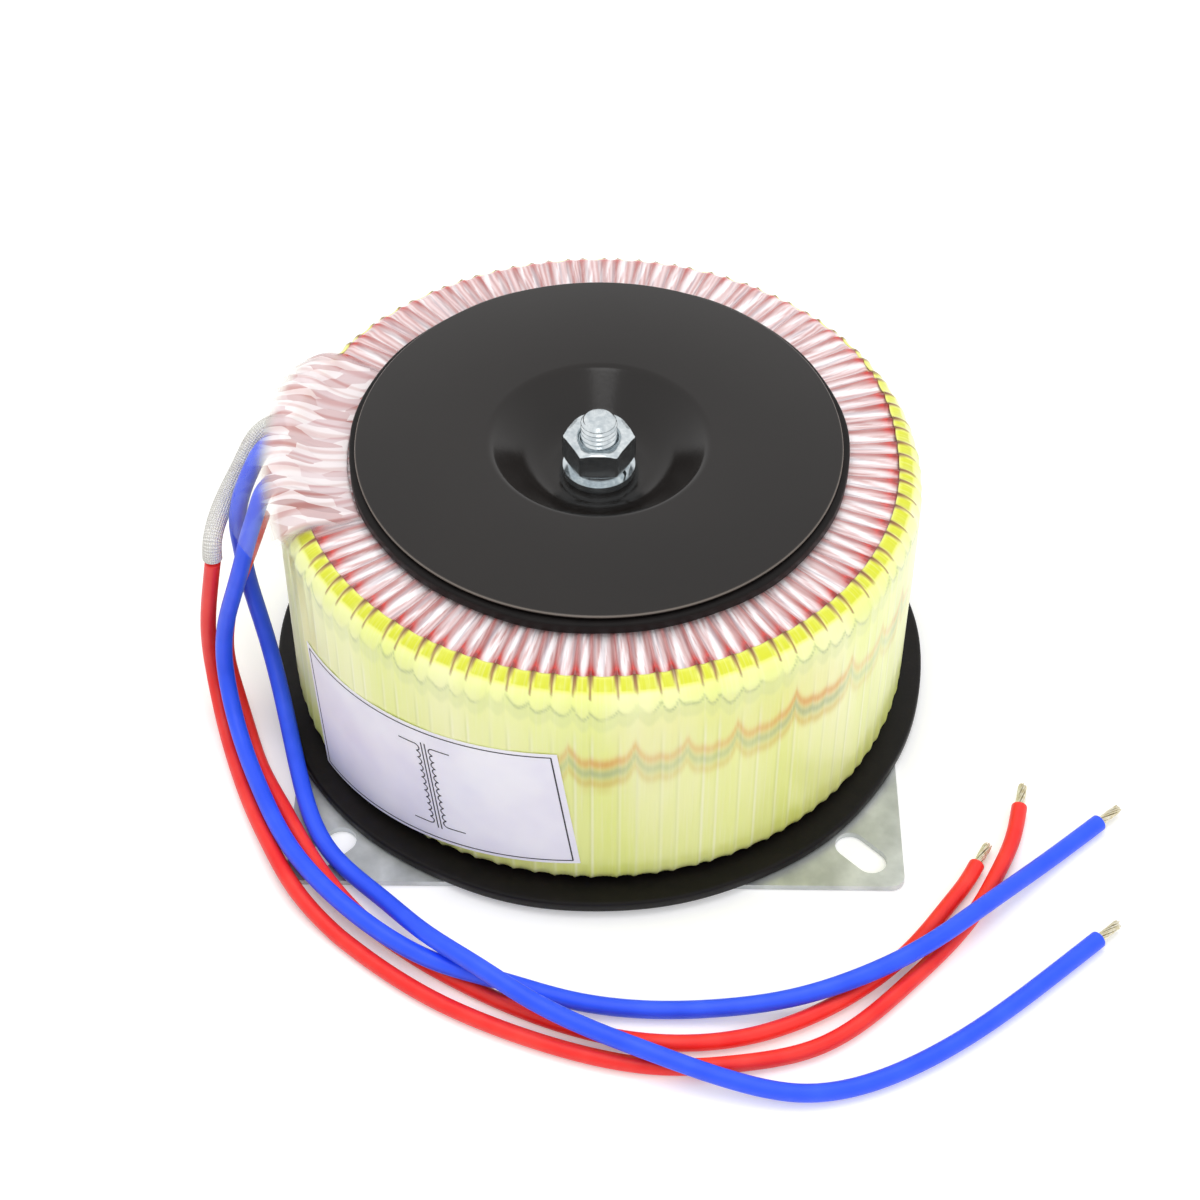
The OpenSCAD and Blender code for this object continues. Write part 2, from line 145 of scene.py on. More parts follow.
def surface(name, points, wrap=(False, True), uv=None, paint=None, gloss=None):
    """Quads over a grid of points [s, i, j], s separate sheets of i by j.
    wrap closes i or j on itself, uv = (u along i, v along j) in any unit,
    paint is a linear RGB and gloss a number for every point."""
    p = np.asarray(points, float)
    if p.ndim == 3:
        p = p[None]
    sheets, rows, columns = p.shape[:3]
    s, i, j = np.meshgrid(
        np.arange(sheets), np.arange(rows if wrap[0] else rows - 1),
        np.arange(columns if wrap[1] else columns - 1), indexing="ij")
    ci = np.stack([i, i + 1, i + 1, i], -1)
    cj = np.stack([j, j, j + 1, j + 1], -1)
    quads = ((s[..., None] * rows + ci % rows) * columns + cj % columns).reshape(-1, 4)
    flat = p.reshape(-1, 3)
    a, b, c, d = (flat[quads[:, k]] for k in range(4))
    volume = (np.einsum("ij,ij->i", a, np.cross(b, c)).sum()
              + np.einsum("ij,ij->i", a, np.cross(c, d)).sum())
    order = [0, 1, 2, 3] if volume > 0 else [3, 2, 1, 0]
    quads, ci, cj = quads[:, order], ci[..., order], cj[..., order]
    mesh = bpy.data.meshes.new(name)
    mesh.vertices.add(len(flat))
    mesh.vertices.foreach_set("co", flat.astype(np.float32).ravel())
    mesh.loops.add(quads.size)
    mesh.loops.foreach_set("vertex_index", quads.astype(np.int32).ravel())
    mesh.polygons.add(len(quads))
    mesh.polygons.foreach_set("loop_start", np.arange(0, quads.size, 4, dtype=np.int32))
    mesh.polygons.foreach_set("use_smooth", np.ones(len(quads), bool))
    mesh.update(calc_edges=True)
    if uv is not None:
        layer = mesh.uv_layers.new(name="UVMap")
        u, v = np.asarray(uv[0], float), np.asarray(uv[1], float)
        layer.uv.foreach_set("vector", np.stack([u[ci], v[cj]], -1).astype(np.float32).ravel())
    if paint is not None:
        rgba = np.ones((len(flat), 4), np.float32)
        rgba[:, :3] = np.asarray(paint).reshape(-1, 3)
        mesh.attributes.new("paint", "FLOAT_COLOR", "POINT").data.foreach_set("color", rgba.ravel())
    if gloss is not None:
        mesh.attributes.new("gloss", "FLOAT", "POINT").data.foreach_set(
            "value", np.asarray(gloss, np.float32).ravel())
    work = bmesh.new()              # points that meet at a pole or an end become one
    work.from_mesh(mesh)
    bmesh.ops.remove_doubles(work, verts=work.verts, dist=1e-7)
    work.to_mesh(mesh)
    work.free()
    piece = bpy.data.objects.new(name, mesh)
    bpy.context.scene.collection.objects.link(piece)
    return piece


def finish_piece(piece, made, replaces=()):
    """Gives a piece its material and body, and hides the CAD nodes it stands for."""
    piece.data.materials.clear()
    piece.data.materials.append(made)
    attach(piece, ROOT)
    if replaces:
        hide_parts(*replaces)
    return piece


def along(points):
    """Distance along a line of points, from 0."""
    steps = np.linalg.norm(np.diff(points, axis=0), axis=1)
    return np.r_[0, np.cumsum(steps)]


def smooth_path(route, step=1.0):
    """Natural cubic spline through a route in millimetres, sampled every step."""
    p = np.array(route, float)
    s = along(p)
    h = np.diff(s)
    n = len(p)
    i = np.arange(1, n - 1)
    left = np.eye(n)
    left[i, i - 1], left[i, i], left[i, i + 1] = h[:-1], 2 * (h[:-1] + h[1:]), h[1:]
    right = np.zeros((n, 3))
    right[i] = 6 * ((p[i + 1] - p[i]) / h[1:, None] - (p[i] - p[i - 1]) / h[:-1, None])
    m = np.linalg.solve(left, right)
    t = np.linspace(0, s[-1], int(s[-1] / step) + 1)
    k = np.clip(np.searchsorted(s, t) - 1, 0, n - 2)
    d, w = (t - s[k])[:, None], h[k][:, None]
    return (m[k] * (w - d) ** 3 + m[k + 1] * d ** 3) / (6 * w) \
        + (p[k] / w - m[k] * w / 6) * (w - d) + (p[k + 1] / w - m[k + 1] * w / 6) * d


def side_frames(path):
    """Unit tangents and two unit sides at each point of a path. The sides come from the
    fixed direction that stays furthest from every tangent."""
    tangent = np.gradient(path, axis=0)
    tangent /= np.linalg.norm(tangent, axis=1)[:, None]
    tries = np.random.default_rng(3).normal(size=(200, 3))
    tries /= np.linalg.norm(tries, axis=1)[:, None]
    best = tries[np.abs(tangent @ tries.T).max(0).argmin()]
    side = np.cross(tangent, best)
    side /= np.linalg.norm(side, axis=1)[:, None]
    return tangent, side, np.cross(tangent, side)


def tube_points(path, radius, sides=20, rounded=0.35):
    """Circles of a radius along a path, with rounded closed ends: at each end the radius
    follows a quarter ellipse that is `rounded` millimetres long."""
    s = along(path)
    ends = rounded * (1 - np.cos(np.linspace(0, np.pi / 2, 5)))
    at = np.r_[0, ends, s[(s > rounded) & (s < s[-1] - rounded)], (s[-1] - ends)[::-1], s[-1]]
    near = np.minimum(at, s[-1] - at)
    grow = np.sqrt(np.clip(1 - (1 - np.clip(near / rounded, 0, 1)) ** 2, 0, 1))
    centre = np.stack([np.interp(at, s, path[:, k]) for k in range(3)], 1)
    _, side, other = side_frames(path)
    side = np.stack([np.interp(at, s, side[:, k]) for k in range(3)], 1)
    other = np.stack([np.interp(at, s, other[:, k]) for k in range(3)], 1)
    r = np.interp(at, s, np.broadcast_to(radius, s.shape)) * (0.72 + 0.28 * grow)
    r[[0, -1]] = 0
    turn = np.linspace(0, 2 * np.pi, sides, endpoint=False)
    ring = (side[:, None] * np.cos(turn)[None, :, None]
            + other[:, None] * np.sin(turn)[None, :, None])
    return centre[:, None] + r[:, None, None] * ring, at


def lathe(name, profile, columns=256, closed=True, wave=None, paint=None):
    """A profile of [radius, height] points in millimetres turned about Z; paint is a
    linear RGB for each of its points."""
    p = np.array(profile, float)
    turn = np.linspace(0, 2 * np.pi, columns, endpoint=False)
    r, z = np.repeat(p[:, :1], columns, 1), np.repeat(p[:, 1:], columns, 1)
    if wave is not None:
        r = r + wave(p, turn)
    grid = np.stack([r * np.cos(turn), r * np.sin(turn), z], -1) * MM
    s = along(p)
    return surface(name, grid, wrap=(closed, True), uv=(
        np.r_[s, s[-1] + 1], np.linspace(0, 2 * np.pi * p[:, 0].max(), columns + 1)),
        paint=None if paint is None else np.repeat(paint[:, None], columns, 1))


def rounded_profile(corners, radius, steps=5):
    """Closed outline through corners with each corner rounded: a quadratic curve from
    radius before the corner to radius after it."""
    c = np.array(corners, float)
    before, after = np.roll(c, 1, 0) - c, np.roll(c, -1, 0) - c
    cut = np.minimum(np.broadcast_to(radius, len(c)), 0.45 * np.minimum(
        np.linalg.norm(before, axis=1), np.linalg.norm(after, axis=1)))[:, None]
    a = c + before / np.linalg.norm(before, axis=1)[:, None] * cut
    b = c + after / np.linalg.norm(after, axis=1)[:, None] * cut
    t = np.linspace(0, 1, steps)[None, :, None]
    curve = a[:, None] * (1 - t) ** 2 + 2 * c[:, None] * t * (1 - t) + b[:, None] * t ** 2
    return curve.reshape(-1, 2)


# ---------------------------------------------------------------- leads

BLUE_D, RED_D, SLEEVE_D = 3.9, 3.6, 4.4
routes = {
    "blue_lead_1": [
        (-70.5, 3.5, 67.8), (-74, 1, 66.5), (-76.5, -2, 63.5), (-78.5, -4.5, 59.5),
        (-80, -7.5, 54), (-80, -8.5, 46), (-79.5, -8.5, 36), (-76.5, -11.5, 18.5),
        (-73, -21, 10.5), (-67, -42.5, 5.6), (-59, -61.5, 4), (-46.5, -75, 4.8),
        (-35, -88, 8.8), (-24, -97, 10.4), (-13, -104.5, 9.6), (1, -110.5, 7),
        (11, -114.5, 6.4), (30.5, -120.5, 4), (43, -122, 2.6), (67, -114.5, 2),
        (97.5, -92, 2), (109, -82, 2)],
    "blue_lead_2": [
        (-69.5, -9.5, 67.8), (-72.5, -12.5, 66.5), (-74, -15, 63.5), (-75.5, -17, 59.5),
        (-78, -18, 51), (-81, -17.5, 40.5), (-85.5, -17.5, 20.5), (-85, -21, 11.5),
        (-82, -30, 6.4), (-76, -45, 5.4), (-67.5, -62, 5.8), (-57.5, -75, 6.6),
        (-46, -85, 6), (-32.5, -93, 5.8), (-19.5, -97, 5.4), (-6, -100, 3.4),
        (27, -101.5, 2.8), (42, -100, 4.6), (56.5, -95.5, 6.2), (71.5, -87, 6.6),
        (83.5, -77, 5.8), (100.5, -61, 2.4), (113, -50, 2)],
    "red_lead_1": [
        (-85.6, -14, 46.3), (-87.5, -13, 36), (-89.5, -12.5, 22), (-89.5, -14, 9.5),
        (-87, -22.5, 3.2), (-83, -34.5, 1.8), (-78, -47.5, 2.2), (-72, -60.5, 3.2),
        (-64.5, -73.5, 3.4), (-55, -83.5, 1.8), (-31, -101, 1.8), (-17, -107.5, 1.8),
        (-2.5, -112.5, 1.8), (14, -115.5, 1.8), (30.5, -114.5, 1.8), (46.5, -110.5, 1.8),
        (66.5, -94.5, 1.8), (83, -75, 1.8), (89, -64, 1.8), (93, -55, 1.8),
        (95.5, -45.5, 1.8)],
    "red_lead_2": [
        (-73.5, -12, 59.5), (-78.5, -13, 45.5), (-82.5, -12, 34), (-85, -11, 24),
        (-86, -12.5, 15), (-84.5, -16, 6.5), (-81, -25, 2.4), (-76.5, -37, 2.2),
        (-70.5, -49, 3.4), (-63.5, -62, 3.8), (-56, -73, 3.4), (-48.5, -80.5, 1.8),
        (-34, -91.5, 1.8), (-20, -99.5, 1.8), (8, -109, 1.8), (32, -108, 1.8),
        (52, -99, 1.8), (70, -83, 1.8), (77.5, -73, 1.8), (82, -66.5, 1.8),
        (84.5, -62, 1.8)]}
sleeve_route = [
    (-70, 8.5, 68), (-74.5, 7, 66.5), (-79, 2.5, 61.5), (-83.5, -4, 54.5),
    (-85.4, -13.2, 50.5), (-85.6, -14, 47)]


def pvc(name, deep, pale):
    """PVC insulation, extruded: satin, with a faint waviness along the lead."""
    made, tree, shader = material(name, deep, 0.42)
    tone = spots(tree, 9.0, source="UV", stretch=(1, 0.4, 1))
    link(tree, ramp(tree, tone, (0.3, deep), (0.75, pale)), shader, "Base Color")
    link(tree, span(tree, spots(tree, 1.2), 0.34, 0.5), shader, "Roughness")
    bump(tree, shader, spots(tree, 1.6, 3.0), 0.05, 0.6)
    return made


blue_pvc = pvc("extruded_pvc_blue", "1F4FF0", "2E5BFF")
red_pvc = pvc("extruded_pvc_red", "EE1D1B", "F63A30")

# Tinned copper strands: drawn wire with a thin tin coat, so a pale gold metal.
tinned, tree, shader = material("tinned_copper_strand", "CFC3A0", 0.28, 1.0)
link(tree, ramp(tree, spots(tree, 0.8), (0.35, "D6CBA6"), (0.7, "F4F0E2")), shader, "Base Color")
bump(tree, shader, spots(tree, 0.25, 3.0), 0.03)

for lead, route in routes.items():
    color, number = lead.split("_")[0], lead[-1]
    diameter = BLUE_D if color == "blue" else RED_D
    path = smooth_path(route)
    path[:, 2] = np.maximum(path[:, 2], diameter / 2)
    grid, at = tube_points(path, diameter / 2, 24)
    piece = surface(lead + "_pvc", grid * MM, uv=(at, np.linspace(0, np.pi * diameter, 25)))
    finish_piece(piece, blue_pvc if color == "blue" else red_pvc, [lead])

    # Nineteen strands in two layers, each a helix with a 22 mm lay about the lead's line.
    tip, heading = path[-1], path[-1] - path[-4]
    heading = heading * [1, 1, 0] / np.linalg.norm(heading[:2])
    side = np.array([-heading[1], heading[0], 0])
    up = np.array([0, 0, 1.0])
    layer = np.r_[0, np.full(6, 0.42), np.full(12, 0.82)]
    start = np.r_[0, np.arange(6) * np.pi / 3, np.arange(12) * np.pi / 6]
    reach = 6.5 - rng.uniform(0, 0.5, 19)
    t = np.linspace(0, 1, 14)
    run = -1.0 + (reach[:, None] + 1.0) * t
    turn = start[:, None] + 2 * np.pi * run / 22 + rng.uniform(-0.1, 0.1, 19)[:, None]
    spread = layer[:, None] * (1 + rng.uniform(-0.04, 0.12, 19)[:, None] * np.clip(t * 2 - 1, 0, 1))
    line = tip + run[..., None] * heading + spread[..., None] * (
        np.cos(turn)[..., None] * side + np.sin(turn)[..., None] * up)
    around = np.linspace(0, 2 * np.pi, 6, endpoint=False)
    fat = 0.2 * np.r_[0, np.ones(12), 0]
    grid = line[:, :, None] + fat[None, :, None, None] * (
        np.cos(around)[:, None] * side + np.sin(around)[:, None] * up)
    bare = surface(f"{color}_strand_bundle_{number}", grid * MM)
    finish_piece(bare, tinned, [f"{color}_strands_{number}"])

# Woven glass sleeve: braided from thin yarn, dry and white.
sleeve_cloth, tree, shader = material("woven_glass_sleeve", "F3F1EA", 0.75, Sheen_Weight=0.2)
yarn = add(tree, "TexCoord").outputs["UV"]
split = add(tree, "SeparateXYZ", {"Vector": yarn})
lay_a = add(tree, "Math", {0: split.outputs["X"], 1: split.outputs["Y"]}, operation="ADD")
lay_b = add(tree, "Math", {0: split.outputs["X"], 1: split.outputs["Y"]}, operation="SUBTRACT")
# yarns 0.55 mm apart, on both slants
sines = [add(tree, "Math", {0: add(tree, "Math", {0: o.outputs[0], 1: 2 * math.pi / 1.1},
                                   operation="MULTIPLY").outputs[0]}, operation="SINE")
         for o in (lay_a, lay_b)]
weave = add(tree, "Math", {0: sines[0].outputs[0], 1: sines[1].outputs[0]}, operation="MULTIPLY")
link(tree, ramp(tree, span(tree, weave.outputs[0], 0.2, 0.9), (0.0, "D9D5CC"), (0.6, "F8F7F2")),
     shader, "Base Color")
bump(tree, shader, weave.outputs[0], 0.16)
path = smooth_path(sleeve_route, 0.5)
grid, at = tube_points(path, SLEEVE_D / 2 * (1 + 0.03 * np.sin(along(path) / 3.0)), 32, 0.2)
sleeve = surface("woven_sleeve_tube", grid * MM, uv=(at, np.linspace(0, np.pi * SLEEVE_D, 33)))
finish_piece(sleeve, sleeve_cloth, ["lead_sleeve"])

# ---------------------------------------------------------------- wound ring under its film

TURNS = 100
COLUMNS = 16 * TURNS
GIRTH = 446                    # millimetres round the wall
TURN_R = 1.2
LAP_ANGLE = 80                 # where the edge tape starts, on the bend
BEND_R, BEND_Z1, BEND_Z0 = 64.8, 61.3, 9.5
RING_Z0, FILM_Z1, HOLE_R = 4.5, 66.3, 26.0
# The turns lie in loose pairs and lean a little over the top.
turn_at = np.arange(TURNS) + 0.09 * (-1.0) ** np.arange(TURNS) + rng.uniform(-0.11, 0.11, TURNS)
lean = rng.uniform(-0.2, 0.2, TURNS)
panel_tone = rng.uniform(0, 1, (6, TURNS))


def turn_field(q, reach):
    """For turn positions q and a share of the way from the shoulder inwards: how far across
    its panel each lies (0 and 1 on a turn), the panel's width in turns, and its number."""
    at = turn_at + lean * reach
    at = np.r_[at[-1] - TURNS, at, at[0] + TURNS]
    k = np.clip(np.searchsorted(at, q, side="right") - 1, 0, TURNS)
    gap = at[k + 1] - at[k]
    return (q - at[k]) / gap, gap, (k - 1) % TURNS


def drift(q, v, seed, scale_q, scale_v, octaves=4):
    """Smooth unrepeating noise over the ring, -1 to 1: a sum of waves that close on the ring."""
    draw = np.random.default_rng(seed)
    out = np.zeros(np.broadcast(q, v).shape)
    for k in range(octaves):
        f = max(1, round(TURNS / scale_q * 2 ** k * draw.uniform(0.8, 1.3)))
        out = out + 0.6 ** k * np.sin(2 * np.pi * f * q / TURNS + draw.uniform(0, 6.28)
                                      + (v / scale_v) * 2 ** k * draw.uniform(-1.2, 1.2))
    return out / 2.0


def blend_colors(a, b, w):
    return a + (b - a) * np.clip(w, 0, 1)[..., None]


def linear(text):
    return np.array(srgb(text)[:3])


def smoothstep(x, low, high):
    t = np.clip((x - low) / (high - low), 0, 1)
    return t * t * (3 - 2 * t)


q = np.arange(COLUMNS) * TURNS / COLUMNS
# Profile of the film: base radius and height, the way it faces in degrees above the
# horizon, and the share of the turns' height it follows.
bend = np.linspace(90, 0, 18)[1:]
low_bend = np.linspace(0, -90, 7)[1:]
profile = np.array(
    [(HOLE_R, z, 180, 0) for z in np.linspace(20, 62, 4)]
    + [(HOLE_R + 3 - 3 * math.cos(a), 63.3 + 3 * math.sin(a), 180 - math.degrees(a), 0)
       for a in (0.3, 0.8, 1.2, math.pi / 2)]
    + [(r, FILM_Z1, 90, float(smoothstep(r, 40, 47))) for r in (34, 40, 43, 46, 49, 51.5, 53)]
    + [(r, FILM_Z1, 90, 1) for r in np.linspace(54, BEND_R, 16)]
    + [(BEND_R + 5 * math.cos(math.radians(a)), BEND_Z1 + 5 * math.sin(math.radians(a)), a, 1)
       for a in bend]
    + [(BEND_R + 5, z, 0, 1) for z in (45, 27, BEND_Z0)]
    + [(BEND_R + 5 * math.cos(math.radians(a)), BEND_Z0 + 5 * math.sin(math.radians(a)), a, 0)
       for a in low_bend]
    + [(r, RING_Z0, -90, 0) for r in (50, 35)]
    + [(HOLE_R + 3, RING_Z0, -90, 0), (HOLE_R + 0.9, RING_Z0 + 0.9, -135, 0),
       (HOLE_R, RING_Z0 + 3, 180, 0)])
rows = len(profile)
across, panel, number = (np.zeros((rows, COLUMNS)) for _ in range(3))
for i, (r, z, face, share) in enumerate(profile):
    reach = np.clip((BEND_R - r) / 14, 0, 1)
    across[i], panel[i], number[i] = turn_field(q, reach)
number = number.astype(int)
r0, z0, face, share = (profile[:, k:k + 1] for k in range(4))
width_mm = panel * 2 * np.pi * np.maximum(r0, 40) / TURNS
off = np.minimum(across, 1 - across) * width_mm          # millimetres to the nearest turn
half = width_mm / 2
middle = np.clip(off / half, 0, 1)
# The film is drawn down between two turns and lies nearly flat there: a steep side at each
# turn, then a level floor, with shallow slanting folds on it.
depth = TURN_R * share * (1 - (1 - middle) ** 2.2) * np.clip(width_mm / 4.0, 0.55, 1.15)
fold = np.sin(across * 2.6 * np.pi + panel_tone[0][number] * 6.3
              + r0 * (panel_tone[1][number] - 0.5) * 0.8)
depth = depth + 0.10 * share * fold * np.sin(np.pi * across) - 0.12 * share * drift(q, r0, 5, 3, 9)
back = smoothstep(np.sin(q * 2 * np.pi / TURNS), 0.0, 0.7)   # the tape's lap is narrower behind
depth = depth * (1 - 0.7 * back * smoothstep(-face, -88, -62))
depth = np.clip(depth, 0.02, None)
crest = TURN_R * share
r = r0 + (crest - depth) * np.cos(np.radians(face))
z = z0 + (crest - depth) * np.sin(np.radians(face))
theta = q * 2 * np.pi / TURNS
grid = np.stack([r * np.cos(theta), r * np.sin(theta), z], -1) * MM
line = along(np.stack([r0[:, 0], z0[:, 0]], 1))

# Colours of the film over the turns: clear film bridges the gaps, painted white to pale pink with
# painted glints and patches of painted grey shade, and the red enamel shows where the film touches
# a turn, most at the shoulder.
lap_edge = LAP_ANGLE * (1 - 0.42 * back)
SHOULDER_R = 6.2               # mean radius of the bend at its crest
to_tape = SHOULDER_R * np.radians(np.clip(face, -90, 90) - lap_edge)
to_tape = np.clip(np.where(r0 < BEND_R, BEND_R - r0, 0) + to_tape, 0, 18)
streak = 0.5 + 0.5 * np.sin(across * (5 + 5 * panel_tone[2][number]) * np.pi
                            + (r0 - 55) * (panel_tone[3][number] - 0.5) * 1.1
                            + panel_tone[4][number] * 6.3)
paint = blend_colors(linear("E6CFD0"), linear("C08A86"),
                     streak * (0.35 + 0.65 * panel_tone[5][number]))
# painted highlight: white glint patches where the film would catch the light
paint = blend_colors(paint, linear("FBF6F8"), smoothstep(drift(q, r0, 21, 1.2, 5), 0.0, 0.5) * 0.9)
# painted shade: soft grey patches on the film
paint = blend_colors(paint, linear("A49BA6"),
                     0.55 * smoothstep(drift(q, r0, 23, 0.9, 7), 0.35, 0.8))
# painted shadow: grey along one flank of each turn, beside the wire
paint = blend_colors(paint, linear("8C7F8A"), 0.7 * np.exp(-((off - 0.75) / 0.22) ** 2)
                     * (across < 0.5) * (0.4 + 0.6 * panel_tone[2][number]))
near = np.exp(-np.clip(to_tape - 0.9, 0, 99) / 2.6)      # 1 at the tape, falling inwards
wire = np.exp(-(off / (0.45 + 0.75 * near)) ** 2)
body = blend_colors(blend_colors(linear("A8504A"), linear("B4342A"), near * 1.5), linear("CE1E08"),
                    smoothstep(near, 0.35, 0.8))
paint = paint + (body - paint) * np.clip(wire * (0.72 + 0.6 * near), 0, 1)[..., None]
dark = np.exp(-(off / (0.28 + 0.5 * near)) ** 2) * smoothstep(near, 0.72, 1.0)
paint = blend_colors(paint, linear("7A120C"), dark * 0.9)
# painted shadow: a thin brown line where the film runs under the tape's edge
paint = blend_colors(paint, linear("5C1E14"),
                     0.75 * smoothstep(-to_tape, -0.45, 0.0) * share * (1 - 0.7 * back))

film, tree, shader = material("polyester_film_over_enamelled_wire", "F0DEDE", 0.16, IOR=1.58,
                              Coat_Weight=0.6, Coat_Roughness=0.06, Coat_IOR=1.6)
base = painted(tree)
fine = spots(tree, 1.0, 3.0, source="UV", stretch=(0.12, 1.6, 1))
# painted highlight: fine white glint streaks along the turns, mixed into the colour
pale = mixed(tree, ramp(tree, fine, (0.45, "000000"), (0.75, "FFFFFF")), base, srgb("FFFFFF"))
link(tree, mixed(tree, 0.15, base, pale), shader, "Base Color")
bump(tree, shader, spots(tree, 0.8, 3.0, source="UV", stretch=(0.15, 1.2, 1)), 0.10)
film_piece = surface(
    "film_over_turns", grid, wrap=(True, True),
    uv=(np.r_[line, line[-1] + 20], np.linspace(0, GIRTH, COLUMNS + 1)), paint=paint)
finish_piece(film_piece, film, ["film_wrap"])

# ---------------------------------------------------------------- edge tape

CREST, TAPE_T = 6.25, 0.25
TAPE_COLUMNS = 10 * TURNS
lap = np.linspace(LAP_ANGLE, 0, 17)
wall = np.r_[np.linspace(BEND_Z1, 38, 38)[1:], np.linspace(38, BEND_Z0, 11)[1:]]
foot = np.linspace(0, -45, 5)[1:]
q = np.arange(TAPE_COLUMNS) * TURNS / TAPE_COLUMNS
theta = q * 2 * np.pi / TURNS
back = smoothstep(np.sin(theta), 0.0, 0.7)
outer = np.array([(BEND_Z1, a) for a in lap] + [(zz, 0) for zz in wall]
                 + [(BEND_Z0, a) for a in foot])
LAP_LENGTH, WALL_LENGTH = 8.94, 51.8       # along the tape, in millimetres
line = np.r_[np.radians(LAP_ANGLE - lap) * 6.4, LAP_LENGTH + BEND_Z1 - wall,
             LAP_LENGTH + WALL_LENGTH - np.radians(foot) * 6.4]
across, gap, number = turn_field(q, 0.0)
width_mm = gap * 4.46
off = np.minimum(across, 1 - across) * width_mm
middle = np.clip(off / (width_mm / 2), 0, 1)
v = line[:, None]
top = np.exp(-(v / 7.0) ** 1.5)
foot_share = smoothstep(v, 55, 66)
sag = (1 - (1 - middle) ** 2.4)
crimp = 0.52 * sag * (top + 0.75 * foot_share) + 0.05 * sag
crimp = crimp + 0.10 * np.clip(drift(q, v, 31, 9, 30), -1, 1) * (1 - top) * (1 - foot_share) + 0.08
pleat = 0.045 * np.sin(2 * np.pi * q * 5 + 2 * drift(q, v, 33, 7, 60)) * (1 - top)
rho = CREST + TAPE_T - np.clip(crimp + pleat, 0, 0.75)
angle = outer[:, 1:]
swing = angle * np.where(angle > 0, 1 - 0.42 * back, 1) + np.where(
    angle < 0, 1, 0) * foot_share * (7 * sag + 5 * drift(q, v, 35, 2, 99))
zc = outer[:, :1]
r = BEND_R + rho * np.cos(np.radians(swing))
z = zc + rho * np.sin(np.radians(swing))
inner_rho = rho - TAPE_T
pick = np.linspace(0, len(outer) - 1, 9).astype(int)[::-1]
r = np.concatenate([r, (BEND_R + inner_rho * np.cos(np.radians(swing)))[pick]])
z = np.concatenate([z, (zc + inner_rho * np.sin(np.radians(swing)))[pick]])
grid = np.stack([r * np.cos(theta), r * np.sin(theta), z], -1) * MM

# Colours of the tape: pale where one layer stands off the wall, strong where two layers lie on
# each other at the lap, and dark in the pleat over each turn, with painted glints, shadows and a
# painted reflection on the wall.
paint = blend_colors(linear("ECF488"), linear("F8FAB8"), 0.5 + 0.5 * drift(q, v, 41, 12, 25))
paint = blend_colors(paint, linear("DEE868"), smoothstep(v, 26, 60) * 0.5)
lobe = 4 * across * (1 - across)
double = (smoothstep(v, 0.2, 0.7) * smoothstep(-v, -3.9, -3.1 - 0.5 * lobe)
          * smoothstep(off, 0.5, 0.9))
# painted highlight: a pale line along one side of each pleat on the wall
painted_pleat_glint = np.exp(-((off - 0.35) / 0.22) ** 2) * (across < 0.5) * smoothstep(v, 12, 20)
paint = blend_colors(paint, linear("FFFFEE"), 0.42 * painted_pleat_glint)
# painted shade: a dull green line over each turn on the wall
paint = blend_colors(paint, linear("C8D06A"),
                     0.35 * np.exp(-(off / 0.2) ** 2) * smoothstep(v, 12, 20))
paint = blend_colors(paint, linear("EEF268"), smoothstep(-v, -4.6, -3.6) * 0.8)
paint = blend_colors(paint, linear("D2D60C"), double * (0.95 - 0.75 * back))
# painted shadow: green grey lines hang between the turns below the lap, partly the film's edge
# showing through the tape, with a paler band under them
hang = 7.0 + 1.6 * drift(q, v * 0, 61, 7, 1) + 2.6 * lobe
paint = blend_colors(paint, linear("A9B878"), 0.75 * np.exp(-((v - hang) / 0.5) ** 2)
                     * (0.25 + 0.75 * smoothstep(drift(q, v * 0, 43, 8, 1), -0.6, 0.2)))
paint = blend_colors(paint, linear("D4DF94"), 0.35 * smoothstep(v - hang, 0, 0.5)
                     * smoothstep(hang + 3 - v, -1.5, 0))
# Soft scallops of orange and green on the front right, over two or three turns each: the red turns
# showing through the tape, with a painted reflection of the red leads.
group = (q * 34 / TURNS + 0.25 * drift(q, v * 0, 51, 20, 1, 2)) % 1.0
bowl = 1 - np.abs(2 * group - 1) ** 4
band = 18.0 + 5.0 * bowl + 1.6 * drift(q, v * 0, 45, 20, 1, 2) + 0.9 * lobe
front = smoothstep(np.cos(theta - math.radians(-58)), 0.66, 0.9)
reflection_and_show_through = front * (0.55 + 0.45 * smoothstep(drift(q, v * 0, 47, 12, 1, 2), -0.3, 0.5))
paint = blend_colors(paint, linear("A3B57C"), 0.85 * reflection_and_show_through * np.exp(-((v - band - 3.2) / 1.7) ** 2))
paint = blend_colors(paint, linear("E0A040"), 0.85 * reflection_and_show_through * np.exp(-((v - band) / 1.6) ** 2))
paint = blend_colors(paint, linear("D6B840"), 0.7 * reflection_and_show_through * np.exp(-((v - band - 6.4) / 1.6) ** 2))
# in each pleat the red turn shows through the tape, darkened with painted shade on the pleat's
# steep sides
pleat_w = 0.95 * np.clip(1 - v / 5.2, 0, 1)
paint = blend_colors(paint, linear("8A4A20"), (pleat_w > 0.02) * 0.9 * smoothstep(
    -off, -pleat_w - 0.12, -pleat_w * 0.35))
paint = blend_colors(paint, linear("5A1610"), 0.8 * smoothstep(-off, -pleat_w * 0.7, 0)
                     * smoothstep(-v, -2.4, -0.2))
paint = np.concatenate([paint, np.broadcast_to(linear("E0E68A"), (len(pick), TAPE_COLUMNS, 3))])

